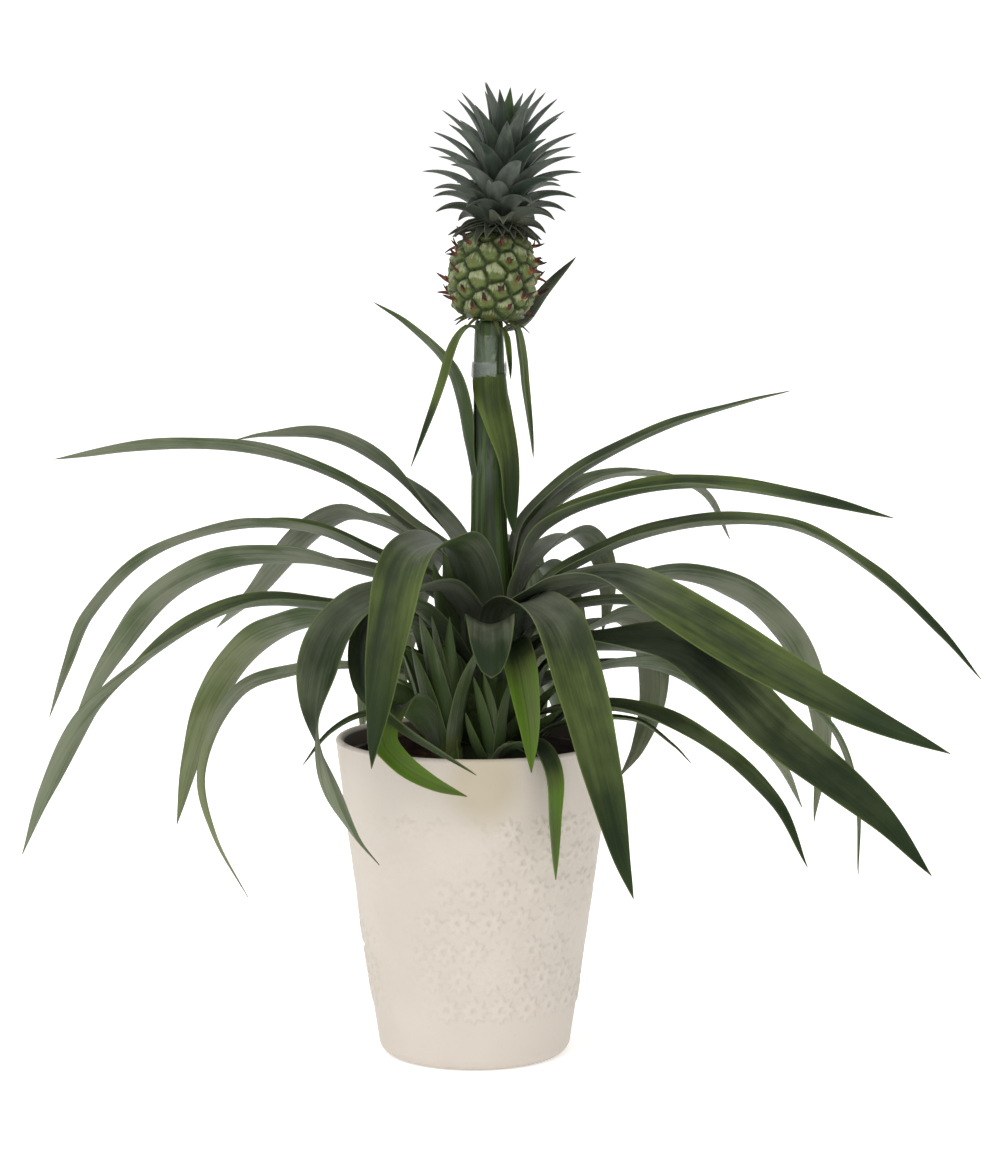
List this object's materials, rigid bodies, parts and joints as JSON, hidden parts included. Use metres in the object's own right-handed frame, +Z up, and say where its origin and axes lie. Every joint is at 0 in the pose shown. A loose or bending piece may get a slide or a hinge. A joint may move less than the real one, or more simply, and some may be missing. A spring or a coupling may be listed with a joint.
{
  "type": "potted pineapple plant",
  "caption": "Ornamental pineapple plant with arching strap leaves and a small crowned fruit on a tall stalk, in a tapered matt ceramic pot with low flower relief.",
  "frame": {"origin": "centre of the pot's flat underside, which stands on the surface", "axes": "+Z up along the pot's axis, +X to the right and +Y away from the viewer in the front view"},
  "size_m": [0.4898, 0.309, 0.4979],
  "materials": {
    "ceramic": "matt cream stoneware",
    "dark_plastic": "thin dark nursery plastic",
    "potting_soil": "dark peaty crumbs",
    "stalk": "fleshy green with a pale bloom",
    "clear_plastic": "clear and glossy",
    "fruit_skin": "waxy pale green eyes with dry bracts",
    "crown_leaf": "dark grey green, waxy",
    "leaf_upper": "dark green, satin",
    "leaf_underside": "grey green with pale scales in fine lines",
    "leaf_young": "bright green, satin"
  },
  "bodies": {
    "root": {"pot": "ceramic", "nursery_pot": "dark_plastic", "soil": "potting_soil", "stem": "stalk", "stalk_sleeve": "clear_plastic", "fruit": "fruit_skin", "crown": "crown_leaf", "shoot_left": "leaf_young", "shoot_right": "leaf_young", "leaf_left_01": "leaf_underside", "leaf_left_02": "leaf_underside", "leaf_left_03": "leaf_underside", "leaf_left_04": "leaf_upper", "leaf_left_05": "leaf_underside", "leaf_left_06": "leaf_upper", "leaf_left_07": "leaf_underside", "leaf_left_08": "leaf_upper", "leaf_left_09": "leaf_upper", "leaf_left_10": "leaf_young", "leaf_left_11": "leaf_young", "leaf_left_12": "leaf_upper", "leaf_right_01": "leaf_underside", "leaf_right_02": "leaf_underside", "leaf_right_03": "leaf_upper", "leaf_right_04": "leaf_underside", "leaf_right_05": "leaf_underside", "leaf_right_06": "leaf_upper", "leaf_right_07": "leaf_underside", "leaf_right_08": "leaf_upper", "leaf_right_09": "leaf_upper", "leaf_right_10": "leaf_underside", "leaf_right_11": "leaf_upper", "leaf_right_12": "leaf_young", "leaf_right_13": "leaf_upper", "leaf_front_01": "leaf_upper", "leaf_front_02": "leaf_young", "leaf_front_03": "leaf_upper", "leaf_back_01": "leaf_upper", "leaf_back_02": "leaf_upper", "leaf_back_03": "leaf_upper", "leaf_back_04": "leaf_upper", "leaf_back_05": "leaf_upper", "leaf_back_06": "leaf_upper", "leaf_back_07": "leaf_upper", "leaf_back_08": "leaf_upper", "stalk_leaf_01": "leaf_upper", "stalk_leaf_02": "leaf_young", "stalk_leaf_03": "leaf_young", "stalk_leaf_04": "leaf_upper", "stalk_leaf_05": "leaf_upper", "stalk_leaf_06": "leaf_young"}
  },
  "joints": []
}
